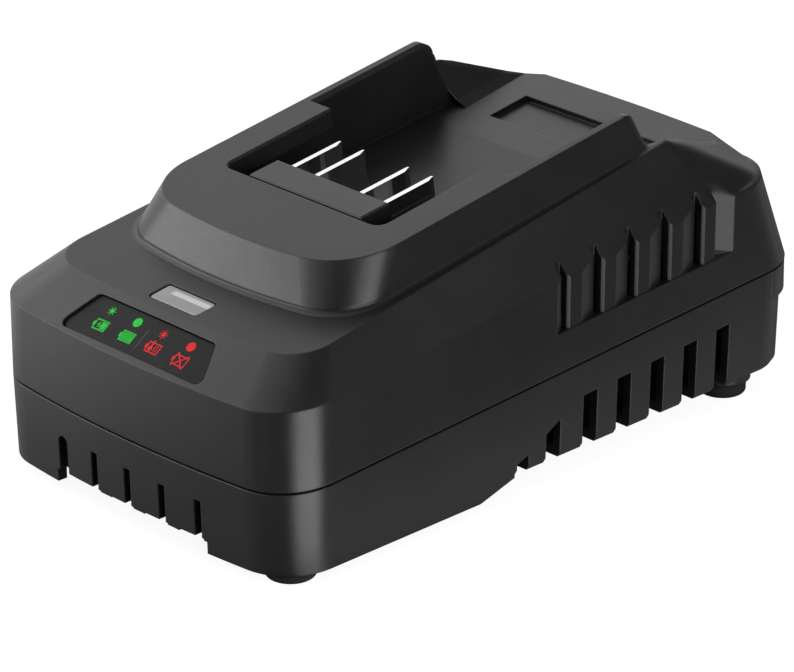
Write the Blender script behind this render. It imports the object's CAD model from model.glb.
# %% [markdown]
# # Dressing a bench charger for slide-on battery packs
#
# The charger's shape is finished before this file starts: every moulded shell, blade, screw and
# component comes in as a solid of its own, already in place, in metres. What is left is what the
# eye reads as "made": satin black plastic with a fine spark-eroded grain, bright plated blades,
# a printed label, a frosted light window, and the light that shows them.
#
# Each step below first says what the real thing is, how it could be made in Blender, and why one
# way was picked. Then short cells build it.

# %% Load the finished solids
import math

import bmesh
import bpy
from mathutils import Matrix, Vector
from mathutils.bvhtree import BVHTree


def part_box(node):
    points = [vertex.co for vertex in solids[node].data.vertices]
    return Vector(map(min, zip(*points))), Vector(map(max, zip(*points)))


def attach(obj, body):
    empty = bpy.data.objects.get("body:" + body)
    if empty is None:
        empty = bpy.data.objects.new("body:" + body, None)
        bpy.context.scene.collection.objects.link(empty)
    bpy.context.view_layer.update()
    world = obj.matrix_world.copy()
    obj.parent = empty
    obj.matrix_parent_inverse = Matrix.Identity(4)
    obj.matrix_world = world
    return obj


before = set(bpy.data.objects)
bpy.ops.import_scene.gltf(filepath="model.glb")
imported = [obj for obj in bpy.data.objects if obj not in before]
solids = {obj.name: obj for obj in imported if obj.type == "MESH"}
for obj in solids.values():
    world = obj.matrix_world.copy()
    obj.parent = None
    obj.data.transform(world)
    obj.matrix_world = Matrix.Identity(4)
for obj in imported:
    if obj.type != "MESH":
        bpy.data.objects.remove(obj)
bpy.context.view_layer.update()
mm = 0.001

# %% [markdown]
# ## The camera
#
# A product portrait of this kind is taken from well above bench height, off one corner, with a
# long lens so that parallel edges stay nearly parallel. The camera stands at about 46 degrees
# round from the label end and looks down at 24 degrees. A look-at constraint would also aim it,
# but three plain angles say exactly where it points and leave nothing to evaluate later.

# %% Stand the camera at the label corner
camera_place = (0.64828, -0.62634, 0.41818)
camera_tilt, camera_turn = 66.215, 46.109      # degrees up from straight down, and round from the label end
lens = bpy.data.cameras.new("portrait_lens")
lens.lens = 191.3
lens.sensor_width = 36.0
lens.clip_start = 0.05
camera = bpy.data.objects.new("portrait_camera", lens)
camera.location = camera_place
camera.rotation_euler = (math.radians(camera_tilt), 0.0, math.radians(camera_turn))
bpy.context.scene.collection.objects.link(camera)
bpy.context.scene.camera = camera
bpy.context.scene.view_settings.view_transform = "Standard"
print("camera", round(camera.location.length, 3), "m from the middle of the footprint")

# %% [markdown]
# ## Small tools for node trees
#
# Every finish below is a tree of shader nodes. Adding each node, setting it and wiring it takes
# three or four lines by hand, so a few helpers do it: they take the node's type, what goes into
# its sockets (a number, a colour, or another node's output) and its settings.

# %% Helpers that add a node and wire it
def feed(tree, entry, value):
    """Wires an output into an input, or sets the input to a plain value."""
    if isinstance(value, bpy.types.NodeSocket):
        tree.links.new(value, entry)
    else:
        entry.default_value = value


def put(tree, kind, into=None, **settings):
    """Adds a node, sets its properties, and fills or wires its input sockets."""
    made = tree.nodes.new(kind)
    for name, value in settings.items():
        setattr(made, name, value)
    for socket, value in (into or {}).items():
        feed(tree, made.inputs[socket], value)
    return made


def calc(tree, operation, a, b=0.0, clamp=False):
    """One step of arithmetic between numbers or outputs."""
    return put(tree, "ShaderNodeMath", {0: a, 1: b}, operation=operation, use_clamp=clamp).outputs[0]


def vector_calc(tree, operation, a, b=(0.0, 0.0, 0.0)):
    """One step of arithmetic between vectors; a dot product or a length comes out as a number."""
    made = put(tree, "ShaderNodeVectorMath", {0: a, 1: b}, operation=operation)
    return made.outputs["Value" if operation in ("DOT_PRODUCT", "LENGTH") else "Vector"]


def ramp(tree, value, low, high, to_low=0.0, to_high=1.0):
    """Maps low..high onto to_low..to_high with a soft start and end."""
    return put(tree, "ShaderNodeMapRange", {0: value, 1: low, 2: high, 3: to_low, 4: to_high},
               interpolation_type="SMOOTHSTEP").outputs[0]


def object_place(tree):
    """Where the shaded spot lies on the object, in metres."""
    return put(tree, "ShaderNodeTexCoord").outputs["Object"]


def axes_of(tree, vector):
    """A vector's X, Y and Z as three outputs."""
    return put(tree, "ShaderNodeSeparateXYZ", {0: vector}).outputs


print("node helpers ready")


# %% Helpers for colour
def grey(value):
    return (value, value, value, 1.0)


def opaque(colour, gain=1.0, more=0.0):
    """A three-part colour with full alpha, made brighter or darker on the way."""
    return tuple(v * gain + more for v in colour) + (1.0,)


def blend_colour(tree, share, first, second):
    """Mixes two colours by a share from 0 to 1."""
    made = put(tree, "ShaderNodeMix", data_type="RGBA", blend_type="MIX", clamp_factor=True)
    for socket, value in zip((0, 6, 7), (share, first, second)):
        feed(tree, made.inputs[socket], value)
    return made.outputs[2]


print("colour helpers ready")


# %% Helpers for node groups with named sockets
def start_group(name, takes, gives):
    """An empty shader node group with its inputs and outputs, and the two nodes that reach them."""
    group = bpy.data.node_groups.new(name, "ShaderNodeTree")
    for label, kind, start in takes:
        socket = group.interface.new_socket(label, in_out="INPUT", socket_type=kind)
        socket.default_value = start
    for label, kind in gives:
        group.interface.new_socket(label, in_out="OUTPUT", socket_type=kind)
    return group, group.nodes.new("NodeGroupInput"), group.nodes.new("NodeGroupOutput")


def hand_out(group, leave, **values):
    """Wires a group's results to its outputs by name; an underscore stands for a space."""
    for name, value in values.items():
        group.links.new(value, leave.inputs[name.replace("_", " ")])


def use_group(tree, group, **values):
    """Places a group in a material and sets its inputs by name; an underscore stands for a space."""
    made = tree.nodes.new("ShaderNodeGroup")
    made.node_tree = group
    for name, value in values.items():
        feed(tree, made.inputs[name.replace("_", " ")], value)
    return made


print("group helpers ready")

# %% [markdown]
# ## Shared effect: moulded grain
#
# The mould for such a case is spark eroded, which leaves a field of tiny soft pits. It could be a
# displacement map, but the pits are a few hundredths of a millimetre deep, so they only ever show
# as a softer gloss and a faint sparkle. Two noises, one fine and one finer still, give a height
# for a Bump node and a mask that varies the gloss from pit to land.

# %% Build the moulded grain group
grain, entry, leave = start_group(
    "moulded_grain",
    [("Grain per m", "NodeSocketFloat", 2200.0), ("Patch per m", "NodeSocketFloat", 60.0)],
    [("Height", "NodeSocketFloat"), ("Speckle", "NodeSocketFloat"), ("Patches", "NodeSocketFloat")])
place = object_place(grain)
pits = put(grain, "ShaderNodeTexNoise", {"Vector": place, "Scale": entry.outputs["Grain per m"],
                                         "Detail": 2.0, "Roughness": 0.55})
fine_scale = calc(grain, "MULTIPLY", entry.outputs["Grain per m"], 2.3)
cells = put(grain, "ShaderNodeTexVoronoi", {"Vector": place, "Scale": fine_scale}, feature="F1")
height = calc(grain, "ADD", calc(grain, "MULTIPLY", pits.outputs[0], 0.7),
              calc(grain, "MULTIPLY", cells.outputs["Distance"], 0.3))
patches = put(grain, "ShaderNodeTexNoise", {"Vector": place, "Scale": entry.outputs["Patch per m"],
                                            "Detail": 3.0, "Roughness": 0.5})
hand_out(grain, leave, Height=height, Speckle=ramp(grain, pits.outputs[0], 0.35, 0.68),
         Patches=ramp(grain, patches.outputs[0], 0.32, 0.7))
print("grain group:", len(grain.nodes), "nodes")

# %% [markdown]
# ## Shared effect: softened and rubbed edges
#
# No moulded edge is perfectly sharp, and handling polishes it a little more. Cutting real bevels
# on every edge of every shell would multiply the faces, so the Bevel shader node bends the normal
# near an edge as a radius would. Where that bent normal differs from the flat one there is an
# edge, and the same difference makes a mask for rubbed, slightly paler, smoother plastic.

# %% Build the worn edge group
edges, entry, leave = start_group(
    "worn_edges",
    [("Radius", "NodeSocketFloat", 0.0006), ("Breakup per m", "NodeSocketFloat", 350.0)],
    [("Soft normal", "NodeSocketVector"), ("Edge", "NodeSocketFloat"), ("Rub", "NodeSocketFloat")])
soft = put(edges, "ShaderNodeBevel", {"Radius": entry.outputs["Radius"]}, samples=6)
flat = put(edges, "ShaderNodeNewGeometry").outputs["Normal"]
same = vector_calc(edges, "DOT_PRODUCT", soft.outputs[0], flat)
edge = ramp(edges, same, 0.995, 0.82)
place = object_place(edges)
breakup = put(edges, "ShaderNodeTexNoise", {"Vector": place, "Scale": entry.outputs["Breakup per m"],
                                            "Detail": 4.0, "Roughness": 0.6})
rub = calc(edges, "MULTIPLY", edge, ramp(edges, breakup.outputs[0], 0.42, 0.66))
hand_out(edges, leave, Soft_normal=soft.outputs[0], Edge=edge, Rub=rub)
print("edge group:", len(edges.nodes), "nodes")

# %% [markdown]
# ## Shared effect: workshop dust and finger marks
#
# A charger on a garage bench gathers a trace of dust on faces that look up, and hands leave
# dull smears. Dust follows the world's up direction, smears are long, soft blotches. Both only
# nudge colour and roughness: much more would turn a clean product into an old one.

# %% Build the dust and smears group
marks, entry, leave = start_group(
    "dust_and_smears",
    [("Dust", "NodeSocketFloat", 0.3), ("Smears", "NodeSocketFloat", 0.4)],
    [("Dust mask", "NodeSocketFloat"), ("Smear mask", "NodeSocketFloat")])
look = put(marks, "ShaderNodeNewGeometry").outputs["Normal"]
upward = ramp(marks, axes_of(marks, look)["Z"], 0.55, 1.0)
place = object_place(marks)
specks = put(marks, "ShaderNodeTexNoise", {"Vector": place, "Scale": 900.0, "Detail": 5.0,
                                           "Roughness": 0.7})
drift = put(marks, "ShaderNodeTexNoise", {"Vector": place, "Scale": 26.0, "Detail": 2.0})
dust = calc(marks, "MULTIPLY", calc(marks, "MULTIPLY", upward, ramp(marks, specks.outputs[0], 0.5, 0.74)),
            ramp(marks, drift.outputs[0], 0.35, 0.65, 0.35, 1.0))
long_way = put(marks, "ShaderNodeMapping", {"Vector": place, "Rotation": (0.3, 0.2, 0.6),
                                            "Scale": (1.0, 0.35, 1.0)})
blotch = put(marks, "ShaderNodeTexNoise", {"Vector": long_way.outputs[0], "Scale": 75.0, "Detail": 3.0,
                                           "Distortion": 0.8})
smears = calc(marks, "MULTIPLY", ramp(marks, blotch.outputs[0], 0.5, 0.72), entry.outputs["Smears"])
hand_out(marks, leave, Dust_mask=calc(marks, "MULTIPLY", dust, entry.outputs["Dust"]), Smear_mask=smears)
print("marks group:", len(marks.nodes), "nodes")

# %% [markdown]
# ## Shared effect: dark recesses
#
# Little light finds its way down a slot or between two rails, and a studio room as plain as this
# one sends in more than a real one would. The Ambient Occlusion node measures how open a spot
# is, and the mask made of it deepens the colour where the plastic sinks out of the light.

# %% Build the recess group
hollow, entry, leave = start_group(
    "recess_shade", [("Reach", "NodeSocketFloat", 0.012)], [("Shade", "NodeSocketFloat")])
shelter = put(hollow, "ShaderNodeAmbientOcclusion", {"Distance": entry.outputs["Reach"]}, samples=6)
hand_out(hollow, leave, Shade=ramp(hollow, shelter.outputs["AO"], 0.15, 0.80, 0.78, 0.0))
print("recess group:", len(hollow.nodes), "nodes")

# %% [markdown]
# ## Finishing a solid
#
# A finish is a material that starts as one Principled shader. The numbers that are the same all
# over, such as how strongly it reflects or whether it is metal, are typed on the shader itself.
# What changes over the surface comes from the groups.

# %% Start a finish, shape its gloss and relief, and lay it on solids
def start_finish(name, **constant):
    """A new material with one Principled shader; keyword names are its sockets."""
    made = bpy.data.materials.new(name)
    made.use_nodes = True
    tree = made.node_tree
    shader = tree.nodes["Principled BSDF"]
    for socket, value in constant.items():
        shader.inputs[socket.replace("_", " ")].default_value = value
    return made, tree, shader


def set_roughness(tree, shader, least, mask, more):
    """Roughness that is least where the mask is 0 and rises by more where it is 1."""
    feed(tree, shader.inputs["Roughness"], calc(tree, "ADD", least, calc(tree, "MULTIPLY", mask, more)))


def set_relief(tree, shader, height, depth, over=None):
    """A bump as deep as depth, in metres, laid over an already softened normal if there is one."""
    into = {"Strength": 1.0, "Distance": depth, "Height": height}
    if over is not None:
        into["Normal"] = over
    feed(tree, shader.inputs["Normal"], put(tree, "ShaderNodeBump", into).outputs[0])


def lay_on(finish, *names):
    """Gives every material slot of the named solids this finish."""
    for name in names:
        for slot in solids[name].material_slots:
            slot.material = finish
    print(finish.name, "on", ", ".join(names))


# %% [markdown]
# ## Moulded plastic
#
# Both shells, the contact block, the clamp and the chip packages are all moulded plastic that
# differs in colour, gloss and grain size. So one recipe makes them, with its values as arguments:
# a base colour varied in broad patches, paler where an edge is rubbed, greyer where dust lies and
# deeper in a recess; roughness that is lower on a rubbed edge and higher under a smear; grain as
# bump on top of the softened normal.

# %% The moulded plastic recipe
dust_grey = (0.30, 0.29, 0.27, 1.0)
recess_black = grey(0.0008)
recess_reach = 0.012


def moulded(name, colour, rough, per_m=2200.0, depth=0.00002, radius=0.0006, worn=0.5, dusty=0.3,
            smeared=0.4, gloss=0.5, rolled_where=None):
    """Grain per metre, grain depth and edge radius in metres; worn, dusty and smeared from 0 to 1."""
    finish, tree, shader = start_finish(name, Specular_IOR_Level=gloss)
    skin = use_group(tree, grain, Grain_per_m=per_m)
    if rolled_where:
        radius = rolled_where(tree, radius)
    corner = use_group(tree, edges, Radius=radius)
    use = use_group(tree, marks, Dust=dusty, Smears=smeared)
    sunk = use_group(tree, hollow, Reach=recess_reach)
    body = blend_colour(tree, skin.outputs["Patches"], opaque(colour, 0.86), opaque(colour, 1.14))
    rubbed = opaque(colour, 1.5, 0.006)
    body = blend_colour(tree, calc(tree, "MULTIPLY", corner.outputs["Rub"], worn), body, rubbed)
    body = blend_colour(tree, use.outputs["Dust mask"], body, dust_grey)
    feed(tree, shader.inputs["Base Color"],
         blend_colour(tree, sunk.outputs["Shade"], body, recess_black))
    matt = calc(tree, "ADD", rough, calc(tree, "MULTIPLY", skin.outputs["Speckle"], 0.06))
    matt = calc(tree, "ADD", matt, calc(tree, "MULTIPLY", use.outputs["Smear mask"], 0.07))
    matt = calc(tree, "SUBTRACT", matt, calc(tree, "MULTIPLY", corner.outputs["Rub"], 0.1), clamp=True)
    feed(tree, shader.inputs["Roughness"], matt)
    set_relief(tree, shader, skin.outputs["Height"], depth, corner.outputs["Soft normal"])
    return finish


print("recesses deepen within", recess_reach / mm, "mm")

# %% [markdown]
# ### The two shells
#
# The top shell is satin black with a fine even grain. The bottom shell comes from another mould
# and has a slightly paler, rougher skin, so it gets its own values. Neither is pure black: a real
# black plastic sends back about one percent of the light by colour alone, and the rest of what
# the eye sees is gloss.
#
# The rear shoulders and the rails' rear ends roll over softly. Their solids have narrow facets
# there, so the softened edge is made wide enough to run from one facet into the next.

# %% Where the top shell rolls softly instead of turning sharply
shoulder_radius, rail_end_radius = 4.0 * mm, 1.4 * mm


def shoulder_roll(tree, radius):
    """The edge radius over the top shell: wide on the rear shoulders and the rails' rear ends."""
    spot = axes_of(tree, object_place(tree))
    behind = ramp(tree, spot["Y"], 46.0 * mm, 50.0 * mm)
    high = ramp(tree, spot["Z"], 53.5 * mm, 57.0 * mm)
    outside = ramp(tree, calc(tree, "ABSOLUTE", spot["X"]), 30.0 * mm, 35.0 * mm)
    shoulder = calc(tree, "MULTIPLY", calc(tree, "MULTIPLY", behind, high), outside)
    rail_end = calc(tree, "MULTIPLY", ramp(tree, spot["Y"], 34.0 * mm, 36.0 * mm),
                    ramp(tree, spot["Z"], 65.0 * mm, 67.0 * mm))
    wide = calc(tree, "MAXIMUM", calc(tree, "MULTIPLY", shoulder, shoulder_radius),
                calc(tree, "MULTIPLY", rail_end, rail_end_radius))
    return calc(tree, "MAXIMUM", wide, radius)


print("roll in mm: shoulders", shoulder_radius / mm, "and the rails' rear ends", rail_end_radius / mm)

# %% Finish the shells
lay_on(moulded("housing_plastic", (0.010, 0.010, 0.0105), 0.31, worn=0.15, dusty=0.04, radius=0.0005,
               depth=0.000006, gloss=0.45, rolled_where=shoulder_roll), "upper_housing")
lay_on(moulded("lower_plastic", (0.011, 0.011, 0.0115), 0.33, worn=0.15, dusty=0.04, radius=0.0005,
               depth=0.000006, gloss=0.46), "lower_housing")
lay_on(moulded("block_plastic", (0.014, 0.014, 0.0145), 0.33, per_m=3200.0, depth=0.000006,
               radius=0.00025, dusty=0.05, gloss=0.56), "terminal_block", "cord_clamp")

# %% [markdown]
# ### Rubber feet
#
# The feet are soft rubber: no gloss to speak of, a slightly open skin, and grey scuffing on the
# rims where they drag on the bench. The same recipe does it with a high roughness, a coarse
# grain and more rub.

# %% Finish the feet
lay_on(moulded("foot_rubber", (0.030, 0.030, 0.030), 0.78, per_m=1500.0, depth=0.00005,
               radius=0.0008, worn=0.9, dusty=0.4, gloss=0.3), "rubber_feet")

# %% [markdown]
# ## Plated contact blades
#
# The blades are stamped strip with bright nickel plating. A stamped and rolled face is not a
# perfect mirror: it keeps faint lines along the strip and a little waviness, so its reflections
# break up. Bump from a noise stretched along the blade does that without extra faces. Where packs
# slide in and out the plating is scuffed, so roughness rises in streaks.

# %% Build the rolled metal group
rolled, entry, leave = start_group(
    "rolled_metal",
    [("Lines per m", "NodeSocketFloat", 2500.0), ("Stretch", "NodeSocketVector", (1.0, 0.05, 1.0))],
    [("Height", "NodeSocketFloat"), ("Streaks", "NodeSocketFloat"), ("Tarnish", "NodeSocketFloat")])
place = object_place(rolled)
drawn = vector_calc(rolled, "MULTIPLY", place, entry.outputs["Stretch"])
lines = put(rolled, "ShaderNodeTexNoise", {"Vector": drawn, "Scale": entry.outputs["Lines per m"],
                                           "Detail": 3.0, "Roughness": 0.6})
waves = put(rolled, "ShaderNodeTexNoise", {"Vector": place, "Scale": 160.0, "Detail": 1.0})
height = calc(rolled, "ADD", calc(rolled, "MULTIPLY", lines.outputs[0], 0.15), waves.outputs[0])
film = put(rolled, "ShaderNodeTexNoise", {"Vector": place, "Scale": 420.0, "Detail": 4.0})
hand_out(rolled, leave, Height=height, Streaks=ramp(rolled, lines.outputs[0], 0.45, 0.7),
         Tarnish=ramp(rolled, film.outputs[0], 0.5, 0.75))
print("rolled metal group:", len(rolled.nodes), "nodes")


# %% The metal recipe
def metal(name, colour, dull, rough, stretch, radius=0.0003, wave=0.00002, streak=0.12):
    """Bright or brushed metal: base tint, tarnish, streaks along the stretch, soft edges."""
    finish, tree, shader = start_finish(name, Metallic=1.0)
    sheet = use_group(tree, rolled, Stretch=stretch)
    corner = use_group(tree, edges, Radius=radius)
    tarnish = calc(tree, "MULTIPLY", sheet.outputs["Tarnish"], 0.6)
    feed(tree, shader.inputs["Base Color"], blend_colour(tree, tarnish, opaque(colour), opaque(dull)))
    matt = calc(tree, "ADD", rough, calc(tree, "MULTIPLY", sheet.outputs["Streaks"], streak))
    matt = calc(tree, "ADD", matt, calc(tree, "MULTIPLY", corner.outputs["Rub"], 0.08), clamp=True)
    feed(tree, shader.inputs["Roughness"], matt)
    set_relief(tree, shader, sheet.outputs["Height"], wave, corner.outputs["Soft normal"])
    return finish


print("metal recipe ready")

# %% Finish the blades, screws and heat sinks
lay_on(metal("plated_contact", (0.97, 0.96, 0.94), (0.90, 0.89, 0.87), 0.05, (1.0, 0.06, 1.0),
             radius=0.00003, wave=0.000003, streak=0.06),
       "positive_blade", "sense_blade", "identify_blade", "negative_blade")
lay_on(metal("screw_steel", (0.58, 0.58, 0.60), (0.42, 0.41, 0.38), 0.32, (1.0, 1.0, 0.2)),
       "housing_screws", "board_screws", "block_screws", "clamp_screws")
lay_on(metal("sink_aluminium", (0.80, 0.80, 0.81), (0.66, 0.66, 0.66), 0.36, (1.0, 1.0, 0.05)),
       "switching_heat_sink", "output_heat_sink")

# %% [markdown]
# ## The status label
#
# The label is a printed polyester film stuck in a shallow recess on the front skirt. It is darker
# than the moulding and nearly matt, with the faint orange-peel of film laid on plastic. The print
# is its own set of thin shapes, so that it stays crisp at any distance, where a painted mask
# would need a large picture.

# %% Finish the label film
film, tree, shader = start_finish("label_film", Specular_IOR_Level=0.14)
skin = use_group(tree, grain, Grain_per_m=900.0, Patch_per_m=40.0)
use = use_group(tree, marks, Dust=0.08, Smears=0.5)
ink = blend_colour(tree, skin.outputs["Patches"], (0.006, 0.006, 0.0065, 1.0), (0.008, 0.008, 0.0085, 1.0))
feed(tree, shader.inputs["Base Color"], blend_colour(tree, use.outputs["Dust mask"], ink, dust_grey))
set_roughness(tree, shader, 0.42, use.outputs["Smear mask"], 0.10)
set_relief(tree, shader, skin.outputs["Height"], 0.00001)
lay_on(film, "indicator_label")

# %% [markdown]
# ### Symbols on the label
#
# The label says four things without words. On the left, in green: a flashing light means
# charging, a steady light means full. On the right, in red: flashing means too hot or too cold,
# steady means a faulty pack. Each has a light symbol above a battery symbol. They could be text
# from a symbol font, but a font brings its own shapes and cannot follow the curved skirt. Here
# every symbol is a few flat outlines in millimetres, cut into small triangles and dropped onto
# the film, so the print lies on the label from any side.

# %% Find the label's own plane
label_cage = BVHTree.FromPolygons([v.co[:] for v in solids["indicator_label"].data.vertices],
                                  [p.vertices[:] for p in solids["indicator_label"].data.polygons])
above_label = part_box("indicator_label")[1].z + 0.01


def on_label(x, y):
    """The point of the film above a place given in mm across and along the charger, and its normal."""
    place, normal, _, _ = label_cage.ray_cast(Vector((x * mm, y * mm, above_label)), Vector((0, 0, -1)))
    if place is None:
        raise ValueError(f"no label under {x}, {y}")
    return place, normal


low_row_y, high_row_y = -82.0, -77.0
up_label = (on_label(0.0, high_row_y)[0] - on_label(0.0, low_row_y)[0]).normalized()
print("label slopes", round(math.degrees(math.asin(up_label.z)), 1), "degrees")


# %% Outlines in label millimetres
def disc(cx, cy, radius, steps=28):
    """A circle as a many-sided outline."""
    turns = [2 * math.pi * k / steps for k in range(steps)]
    return [(cx + radius * math.cos(turn), cy + radius * math.sin(turn)) for turn in turns]


def box_outline(x0, y0, x1, y1):
    """An upright box between two corners."""
    return [(x0, y0), (x1, y0), (x1, y1), (x0, y1)]


def stroke(x0, y0, x1, y1, width):
    """A straight line of the given width, as four corners."""
    along = Vector((x1 - x0, y1 - y0)).normalized()
    side = Vector((-along.y, along.x)) * width / 2
    return [(x0 - side.x, y0 - side.y), (x1 - side.x, y1 - side.y), (x1 + side.x, y1 + side.y),
            (x0 + side.x, y0 + side.y)]


def frame_strokes(points, width):
    """A closed outline drawn as strokes that overlap at the corners."""
    lines = []
    for k, start in enumerate(points):
        end = points[(k + 1) % len(points)]
        along = Vector((end[0] - start[0], end[1] - start[1])).normalized() * width / 2
        lines.append(stroke(start[0] - along.x, start[1] - along.y,
                            end[0] + along.x, end[1] + along.y, width))
    return lines


print("outline helpers ready")


# %% Lay outlines on the film as one thin printed piece
def print_on_label(name, outlines, middle_x, middle_y, finish, lift=0.00003, layer_step=0.000002):
    """Outlines are in mm around a middle point given in mm across and along the charger. Each one
    lies a step above the last, so that overlapping outlines don't fight."""
    sheet = bmesh.new()
    base, _ = on_label(middle_x, middle_y)
    for layer, outline in enumerate(outlines):
        corners = []
        for across, up in outline:
            spot = base + Vector((across * mm, 0, 0)) + up_label * (up * mm)
            place, normal = on_label(spot.x / mm, spot.y / mm)
            corners.append(sheet.verts.new(place + normal * (lift + layer * layer_step)))
        sheet.faces.new(corners)
    bmesh.ops.triangulate(sheet, faces=sheet.faces[:])
    bmesh.ops.recalc_face_normals(sheet, faces=sheet.faces[:])
    for face in sheet.faces:
        if face.normal.z < 0:
            face.normal_flip()
    data = bpy.data.meshes.new(name)
    sheet.to_mesh(data)
    sheet.free()
    data.materials.append(finish)
    piece = bpy.data.objects.new(name, data)
    bpy.context.scene.collection.objects.link(piece)
    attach(piece, "root")
    return piece


print("ready to print on the label")

# %% [markdown]
# ### Printing inks
#
# Screen-printed ink is an even, slightly glossy film, a little thinner at some spots where the
# black shows through. A fine noise mixes the ink towards black by a few percent.

# %% Mix the inks
def ink_of(name, colour):
    finish, tree, shader = start_finish(name, Specular_IOR_Level=0.15)
    skin = use_group(tree, grain, Grain_per_m=1800.0, Patch_per_m=500.0)
    feed(tree, shader.inputs["Base Color"],
         blend_colour(tree, skin.outputs["Patches"], opaque(colour, 0.8), opaque(colour)))
    set_roughness(tree, shader, 0.38, skin.outputs["Speckle"], 0.08)
    return finish


green_ink = ink_of("green_ink", (0.022, 0.60, 0.05))
red_ink = ink_of("red_ink", (0.80, 0.022, 0.022))
grey_ink = ink_of("grey_ink", (0.12, 0.12, 0.12))
print("inks:", green_ink.name, red_ink.name, grey_ink.name)

# %% Draw the light symbols
ray_start, ray_end, ray_width, ray_count = 0.72, 1.18, 0.22, 8
burst = [disc(0, 0, 0.58)]
for k in range(ray_count):
    way = Vector((math.cos(2 * math.pi * k / ray_count), math.sin(2 * math.pi * k / ray_count)))
    burst.append(stroke(*(way * ray_start), *(way * ray_end), ray_width))
steady = [disc(0, 0, 1.24)]
print(len(burst), "outlines for a flashing light,", len(steady), "for a steady one")

# %% Draw the battery symbols
# A plain battery: an upright box outline with a terminal nub. What is inside it tells the state.
case_half_x, case_half_y, line = 1.85, 1.25, 0.32
battery_case = frame_strokes([(-case_half_x, -case_half_y), (case_half_x, -case_half_y),
                              (case_half_x, case_half_y), (-case_half_x, case_half_y)], line)
nub = [box_outline(-case_half_x - 0.62, -0.55, -case_half_x - 0.1, 0.55)]
battery = battery_case + nub
charge_block = box_outline(0.1, -0.95, 1.55, 0.95)
spark = [[(-1.3, -0.1), (-0.2, 0.85), (-0.45, 0.12), (0.1, 0.12)],
         [(0.1, -0.12), (-0.85, -0.9), (-0.6, -0.15), (-1.3, -0.1)]]
filling = battery + [charge_block] + spark
full = battery + [box_outline(x, -0.98, x + 0.52, 0.98) for x in (-1.52, -0.86, -0.2, 0.46, 1.1)]
thermometer = [disc(-0.75, -0.35, 0.62), box_outline(-0.97, 0.0, -0.53, 1.9)]
hot_or_cold = battery + thermometer + [box_outline(x, -0.95, x + 0.25, 0.95) for x in (0.35, 0.95)]
cross = 1.75
faulty = battery + [stroke(-cross, -cross, cross, cross, 0.36), stroke(-cross, cross, cross, -cross, 0.36)]
print("outlines per battery:", [len(shape) for shape in (filling, full, hot_or_cold, faulty)])

# %% Print them in two rows, with a line between the green and the red half
divider = [stroke(0, -3.1, 0, 3.1, 0.16)]
symbols = [print_on_label(*row) for row in (
    ("flashing_green", burst, -13.1, -77.5, green_ink),
    ("steady_green", steady, -4.3, -77.65, green_ink),
    ("flashing_red", burst, 4.5, -77.75, red_ink),
    ("steady_red", steady, 13.5, -77.7, red_ink),
    ("charging_symbol", filling, -13.1, -80.95, green_ink),
    ("full_symbol", full, -4.1, -81.05, green_ink),
    ("temperature_symbol", hot_or_cold, 4.6, -81.0, red_ink),
    ("faulty_symbol", faulty, 13.5, -81.05, red_ink),
    ("divider", divider, 0.0, -80.6, grey_ink))]
print(len(symbols), "printed pieces")

# %% [markdown]
# ## The light window
#
# The window over the status lamps is clear plastic, frosted underneath so that the lamps read as
# one soft patch. Unlit, it looks pale grey with a brighter band where its stem stands behind the
# front face. Glass with a rough inside would be slow and noisy at this size. A pale, smooth
# surface with a little subsurface scatter gives the same milky depth.

# %% Finish the window
clear, tree, shader = start_finish("clear_window", Specular_IOR_Level=0.5, Subsurface_Weight=0.25,
                                   Subsurface_Radius=(0.002, 0.002, 0.002), Subsurface_Scale=0.5)
window_low, window_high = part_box("light_pipe")
print("window spans", [round(v / mm, 1) for v in window_low], [round(v / mm, 1) for v in window_high])
skin = use_group(tree, grain, Grain_per_m=700.0, Patch_per_m=180.0)
corner = use_group(tree, edges, Radius=0.0005)
milky = blend_colour(tree, skin.outputs["Patches"], (0.27, 0.27, 0.275, 1.0), (0.31, 0.31, 0.315, 1.0))
spot = axes_of(tree, object_place(tree))
face_rear, face_depth = window_high.y - 0.75 * mm, 6.4 * mm
stem_front, stem_rear = face_rear - 0.52 * face_depth, face_rear - 0.27 * face_depth
stem_end, stem_full = -5.6 * mm, -3.4 * mm         # across: where the band starts and where it is whole
band = calc(tree, "MULTIPLY", ramp(tree, spot["Y"], stem_front - 0.15 * mm, stem_front + 0.15 * mm),
            ramp(tree, spot["Y"], stem_rear + 0.3 * mm, stem_rear - 0.3 * mm))
band = calc(tree, "MULTIPLY", band, ramp(tree, spot["X"], stem_end, stem_full))
milky = blend_colour(tree, band, milky, (0.62, 0.62, 0.625, 1.0))
front_left = (-0.6, -0.8, 0.0)
faces_front_left = vector_calc(tree, "DOT_PRODUCT", corner.outputs["Soft normal"], front_left)
rim = calc(tree, "MULTIPLY", corner.outputs["Edge"], ramp(tree, faces_front_left, 0.15, 0.45))
feed(tree, shader.inputs["Base Color"], blend_colour(tree, rim, milky, grey(0.88)))
set_roughness(tree, shader, 0.18, skin.outputs["Patches"], 0.08)
set_relief(tree, shader, skin.outputs["Height"], 0.00001, corner.outputs["Soft normal"])
lay_on(clear, "light_pipe")

# %% [markdown]
# ## Inside the case
#
# Nobody sees these parts in the closed charger, but a part that can be taken apart should stand
# up to being looked at. Each gets the finish its real counterpart has: a green solder mask with
# copper tracks under it, taped windings, shrink sleeves, dipped and moulded bodies, bare ferrite.

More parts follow.
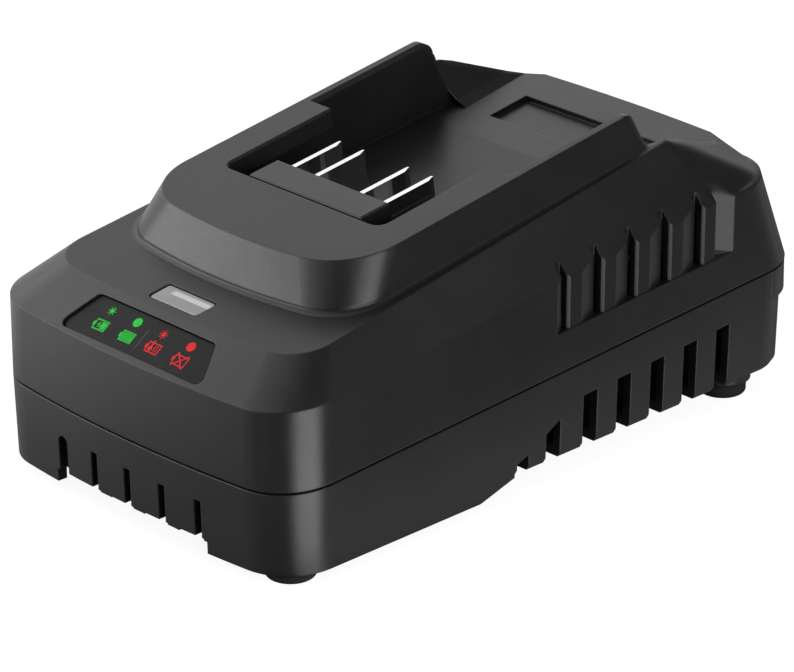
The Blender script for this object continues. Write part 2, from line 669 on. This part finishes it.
# %% Shared effect: tracks and speckle for the boards
tracks, entry, leave = start_group(
    "board_tracks", [("Tracks per m", "NodeSocketFloat", 120.0)],
    [("Track", "NodeSocketFloat"), ("Pad", "NodeSocketFloat"), ("Height", "NodeSocketFloat")])
place = object_place(tracks)
cells = put(tracks, "ShaderNodeTexVoronoi",
            {"Vector": place, "Scale": entry.outputs["Tracks per m"], "Randomness": 0.55},
            feature="DISTANCE_TO_EDGE", distance="EUCLIDEAN")
track = ramp(tracks, cells.outputs["Distance"], 0.10, 0.06)
pads_per_m = calc(tracks, "MULTIPLY", entry.outputs["Tracks per m"], 2.0)
pads = put(tracks, "ShaderNodeTexVoronoi", {"Vector": place, "Scale": pads_per_m, "Randomness": 0.2},
           feature="F1")
pad = ramp(tracks, pads.outputs["Distance"], 0.2, 0.15)
hand_out(tracks, leave, Track=track, Pad=pad, Height=calc(tracks, "MAXIMUM", track, pad))
print("board tracks group:", len(tracks.nodes), "nodes")

# %% Finish the boards
board, tree, shader = start_finish("board_laminate", Specular_IOR_Level=0.5)
copper = use_group(tree, tracks, Tracks_per_m=150.0)
skin = use_group(tree, grain, Grain_per_m=1500.0)
mask = blend_colour(tree, skin.outputs["Patches"], (0.012, 0.10, 0.035, 1.0), (0.018, 0.13, 0.045, 1.0))
mask = blend_colour(tree, copper.outputs["Track"], mask, (0.035, 0.22, 0.07, 1.0))
mask = blend_colour(tree, copper.outputs["Pad"], mask, (0.55, 0.53, 0.48, 1.0))
feed(tree, shader.inputs["Base Color"], mask)
feed(tree, shader.inputs["Metallic"], calc(tree, "MULTIPLY", copper.outputs["Pad"], 0.9))
set_roughness(tree, shader, 0.28, skin.outputs["Speckle"], 0.1)
set_relief(tree, shader, copper.outputs["Height"], 0.00003)
lay_on(board, "main_board", "lamp_board")

# %% Finish the moulded, pressed and dipped components
for name, colour, rough, per_m, depth, radius, worn, wearers in (
        ("ferrite", (0.045, 0.045, 0.048), 0.62, 1200.0, 0.00003, 0.0004, 0.6,
         ("transformer_core", "choke_core")),
        ("chip_black", (0.022, 0.022, 0.023), 0.5, 3500.0, 0.00001, 0.0002, 0.5,
         ("switching_transistor", "output_rectifier", "controller_chips")),
        ("chip_white", (0.72, 0.72, 0.69), 0.4, 2500.0, 0.00001, 0.0003, 0.1,
         ("optocoupler", "mains_connector")),
        ("capacitor_box", (0.085, 0.075, 0.060), 0.3, 1500.0, 0.00001, 0.0005, 0.2, ("filter_capacitor",)),
        ("surge_coating", (0.04, 0.12, 0.42), 0.25, 500.0, 0.00006, 0.0006, 0.1, ("surge_disc",)),
        ("lamp_resin", (0.78, 0.80, 0.78), 0.12, 800.0, 0.000004, 0.0003, 0.0, ("status_lamps",)),
        ("lamp_wire", (0.55, 0.55, 0.55), 0.4, 1800.0, 0.00001, 0.0001, 0.0, ("lamp_leads",)),
        ("power_wire", (0.45, 0.03, 0.03), 0.38, 1800.0, 0.00001, 0.0001, 0.0, ("terminal_leads",))):
    lay_on(moulded(name, colour, rough, per_m, depth, radius, worn, dusty=0.0), *wearers)

# %% [markdown]
# ### Sleeves, tape and windings
#
# A shrink sleeve, a taped coil and a winding all show bands that run one way: the pale stripe
# down one side of a capacitor, the turns of tape, the turns of enamelled wire. One group makes
# even bands along a chosen direction, and each finish colours and raises them in its own way.

# %% Build the bands group
bands, entry, leave = start_group(
    "bands", [("Bands per m", "NodeSocketFloat", 400.0), ("Along", "NodeSocketVector", (0.0, 0.0, 1.0)),
              ("Wander", "NodeSocketFloat", 0.05)],
    [("Band", "NodeSocketFloat"), ("Groove", "NodeSocketFloat")])
place = object_place(bands)
way = vector_calc(bands, "DOT_PRODUCT", place, entry.outputs["Along"])
wobble = put(bands, "ShaderNodeTexNoise", {"Vector": place, "Scale": 300.0, "Detail": 1.0}).outputs[0]
steps = calc(bands, "ADD", calc(bands, "MULTIPLY", way, entry.outputs["Bands per m"]),
             calc(bands, "MULTIPLY", wobble, entry.outputs["Wander"]))
tooth = calc(bands, "PINGPONG", steps, 0.5)
hand_out(bands, leave, Band=calc(bands, "MULTIPLY", tooth, 2.0),
         Groove=ramp(bands, tooth, 0.0, 0.1, 1.0, 0.0))
print("bands group:", len(bands.nodes), "nodes")


# %% The banded recipe
def banded(name, colour, line_colour, rough, per_m, along, depth, metallic=0.0, wander=0.05):
    """Bands per metre along a direction, with a thin line of another colour between them."""
    finish, tree, shader = start_finish(name, Metallic=metallic)
    turns = use_group(tree, bands, Bands_per_m=per_m, Along=along, Wander=wander)
    skin = use_group(tree, grain, Grain_per_m=1200.0, Patch_per_m=150.0)
    body = blend_colour(tree, skin.outputs["Patches"], opaque(colour, 0.85), opaque(colour))
    feed(tree, shader.inputs["Base Color"],
         blend_colour(tree, turns.outputs["Groove"], body, opaque(line_colour)))
    set_roughness(tree, shader, rough, skin.outputs["Speckle"], 0.08)
    set_relief(tree, shader, turns.outputs["Band"], depth)
    return finish


print("banded recipe ready")

# %% Finish the coil, the choke, the capacitors and the fuse
upright, slanting = (0.0, 0.0, 1.0), (0.6, 0.8, 0.0)
lay_on(banded("coil_tape", (0.060, 0.048, 0.036), (0.030, 0.024, 0.018), 0.3, 170.0, upright, 0.00005),
       "transformer_coil")
lay_on(banded("copper_wire", (0.62, 0.24, 0.09), (0.20, 0.06, 0.02), 0.25, 1400.0, slanting, 0.0002,
              metallic=0.8), "choke_winding")
lay_on(banded("capacitor_sleeve", (0.02, 0.035, 0.10), (0.5, 0.52, 0.55), 0.22, 45.0, upright, 0.00001,
              wander=0.0), "mains_capacitor", "output_capacitors")
lay_on(banded("fuse_tube", (0.52, 0.51, 0.48), (0.68, 0.66, 0.62), 0.3, 60.0, (1.0, 1.0, 0.0), 0.00002,
              wander=0.0), "fuse")

# %% [markdown]
# ## Floor, sky and lamps
#
# The charger stands on a plain pale table in a soft studio. Black plastic is almost all gloss:
# what it reflects is what it looks like. So the light is placed by what each face mirrors to the
# camera. The deck and the tops of the rails mirror the rear left, where a bright wall of the
# room is. The skirt under the deck mirrors the upper left, where a softbox hangs. The front face
# of the receiver mirrors the front left, low down, and a wide softbox stands there. Its corner
# mirrors a panel to the right. A small lamp at the rear right lights the broken edges of the
# blades. Everything on the right side mirrors a dim part of the room, and stays dark.

# %% Lay the floor
table_half = 6
floor_mesh = bpy.data.meshes.new("table_top")
floor_mesh.from_pydata([(x * table_half, y * table_half, 0) for x, y in ((-1, -1), (1, -1), (1, 1), (-1, 1))],
                       [], [(0, 1, 2, 3)])
floor = bpy.data.objects.new("table_top", floor_mesh)
bpy.context.scene.collection.objects.link(floor)
print("floor", 2 * table_half, "m square")

# %% [markdown]
# ### A floor that reads white but keeps its shadow
#
# Lit evenly, even a white floor photographs grey. More light on it would burn out the object's
# pale parts too, so the floor glows a little instead, but only for the camera and for mirror
# rays, never as a light. Its own diffuse part still takes the object's shadow.
#
# The upright walls mirror the table, not the room, so the glow that gloss sees is what shapes
# them. It is strong at the front left and fades towards the object, as under a window. A narrow
# beam of it lies off the front right corner and draws the bright line down that corner. To the
# right the table is also polished for mirror rays, and passes on the panel and the dim room.

# %% Tell apart the rays that see the floor and the sky
def ray_kinds(tree):
    """1 for a ray from the camera, and 1 for a mirrored or refracted ray."""
    ray = put(tree, "ShaderNodeLightPath").outputs
    return ray["Is Camera Ray"], calc(tree, "MAXIMUM", ray["Is Glossy Ray"], ray["Is Transmission Ray"])


print("ray helper ready")

# %% Start the floor: a matt, faintly mottled paper white
top = bpy.data.materials.new("pale_table")
top.use_nodes = True
tree = top.node_tree
tree.nodes.clear()
paper = put(tree, "ShaderNodeTexNoise", {"Scale": 900.0, "Detail": 3.0})
pale = blend_colour(tree, ramp(tree, paper.outputs[0], 0.3, 0.7), grey(0.21), grey(0.24))
matt_floor = put(tree, "ShaderNodeBsdfDiffuse", {"Color": pale, "Roughness": 0.0})
camera_ray, mirror_ray = ray_kinds(tree)
spot = object_place(tree)
across, along, _ = axes_of(tree, spot)
print("matt floor:", len(tree.nodes), "nodes")

# %% The glow at the front left, which the walls under the label mirror
window_way = (-0.88, -0.47, 0.0)
towards_window = vector_calc(tree, "DOT_PRODUCT", vector_calc(tree, "NORMALIZE", spot), window_way)
fade_in = ramp(tree, vector_calc(tree, "LENGTH", spot), 0.10, 0.19, 0.12, 1.0)
left_glow = calc(tree, "MULTIPLY", ramp(tree, towards_window, 0.45, 0.90, 0.05, 0.85), fade_in)
print("with the glow at the front left:", len(tree.nodes), "nodes")

# %% The beam off the rounded corner, which draws the bright line down it
corner_middle, beam_way = (0.036, -0.072, 0.0), (0.9945, -0.1045, 0.0)
from_corner = vector_calc(tree, "SUBTRACT", spot, corner_middle)
towards_beam = vector_calc(tree, "DOT_PRODUCT", vector_calc(tree, "NORMALIZE", from_corner), beam_way)
beam_strength = ramp(tree, vector_calc(tree, "LENGTH", from_corner), 0.03, 0.10, 0.9, 1.85)
beam = calc(tree, "MULTIPLY", ramp(tree, towards_beam, 0.90, 0.99), beam_strength)
print("with the beam:", len(tree.nodes), "nodes")

# %% The weak glow close to the right wall, and the polished table farther right
right_wall = 0.045
beside = calc(tree, "MULTIPLY", ramp(tree, along, -0.085, -0.055), ramp(tree, across, 0.055, 0.11, 0.35, 0.0))
right_glow = calc(tree, "MULTIPLY", ramp(tree, across, right_wall, right_wall + 0.01), beside)
polished = ramp(tree, across, right_wall, right_wall + 0.03, 0.07, 0.90)
mirrored_glow = calc(tree, "ADD", calc(tree, "ADD", left_glow, beam), right_glow)
print("with the right side:", len(tree.nodes), "nodes")

# %% Put the floor together
camera_glow = 0.90
glow = calc(tree, "ADD", calc(tree, "MULTIPLY", camera_ray, camera_glow),
            calc(tree, "MULTIPLY", mirror_ray, mirrored_glow))
shine = put(tree, "ShaderNodeEmission", {"Color": grey(1.0), "Strength": glow})
polish = put(tree, "ShaderNodeBsdfGlossy", {"Color": grey(1.0), "Roughness": 0.06})
surface = put(tree, "ShaderNodeMixShader", {0: calc(tree, "MULTIPLY", mirror_ray, polished),
                                            1: matt_floor.outputs[0], 2: polish.outputs[0]})
both = put(tree, "ShaderNodeAddShader", {0: surface.outputs[0], 1: shine.outputs[0]})
put(tree, "ShaderNodeOutputMaterial", {"Surface": both.outputs[0]})
floor_mesh.materials.append(top)
print("floor:", len(tree.nodes), "nodes")

# %% [markdown]
# ### The room
#
# The room is white to the camera, a soft even fill to matt surfaces, and to gloss it is bright on
# the left and the rear left and dim on the right. A picture of a room would show its windows in
# the plastic; a smooth ramp from one side to the other keeps the reflections calm.

# %% Paint the sky
sky = bpy.data.worlds.new("studio")
bpy.context.scene.world = sky
sky.use_nodes = True
tree = sky.node_tree
tree.nodes.clear()
camera_ray, mirror_ray = ray_kinds(tree)
bright_side, fill = (-0.95, -0.30, 0.0), 0.50
way = put(tree, "ShaderNodeTexCoord").outputs["Generated"]
open_side = ramp(tree, vector_calc(tree, "DOT_PRODUCT", way, bright_side), -0.10, 0.40, 0.10, 1.0)
seen = calc(tree, "MAXIMUM", camera_ray, calc(tree, "MULTIPLY", mirror_ray, open_side))
matt_ray = calc(tree, "SUBTRACT", 1.0, calc(tree, "MAXIMUM", camera_ray, mirror_ray))
strength = calc(tree, "ADD", seen, calc(tree, "MULTIPLY", matt_ray, fill))
air = put(tree, "ShaderNodeBackground", {"Color": grey(1.0), "Strength": strength})
put(tree, "ShaderNodeOutputWorld", {"Surface": air.outputs[0]})
print("sky:", len(tree.nodes), "nodes")

# %% [markdown]
# ### The lamps
#
# Each lamp is a plain rectangle, as a studio softbox is. What matters here is how bright its face
# looks in the plastic, and Blender asks for its power instead, which also grows with its area. So
# the helper takes the brightness and works the power out. The camera doesn't see the lamps.

# %% Hang the lamps
def softbox(name, place, aim, wide, tall, radiance):
    """A rectangular lamp that shines at a point. Its power follows from how bright its face is to be."""
    lamp = bpy.data.lights.new(name, "AREA")
    lamp.shape = "RECTANGLE"
    lamp.size, lamp.size_y = wide, tall
    lamp.energy = radiance * math.pi * wide * tall
    made = bpy.data.objects.new(name, lamp)
    made.location = place
    made.rotation_euler = (Vector(aim) - Vector(place)).to_track_quat("-Z", "Y").to_euler()
    made.visible_camera = False
    bpy.context.scene.collection.objects.link(made)
    print(name, "power", round(lamp.energy, 2), "W")
    return made


softbox("upper_left_softbox", place=(-0.575, -0.11, 0.46), aim=(0, -0.02, 0.04),
        wide=0.46, tall=0.42, radiance=1.1)
softbox("low_front_softbox", place=(-0.482, -0.575, 0.21), aim=(0, -0.05, 0.04),
        wide=0.80, tall=0.27, radiance=3.9)
softbox("rear_right_softbox", place=(0.41, 0.366, 0.635), aim=(0, 0, 0.06),
        wide=0.15, tall=0.15, radiance=1.05)
softbox("right_panel", place=(0.66, -0.15, 0.32), aim=(0.04, -0.05, 0.04),
        wide=0.56, tall=0.30, radiance=4.6)
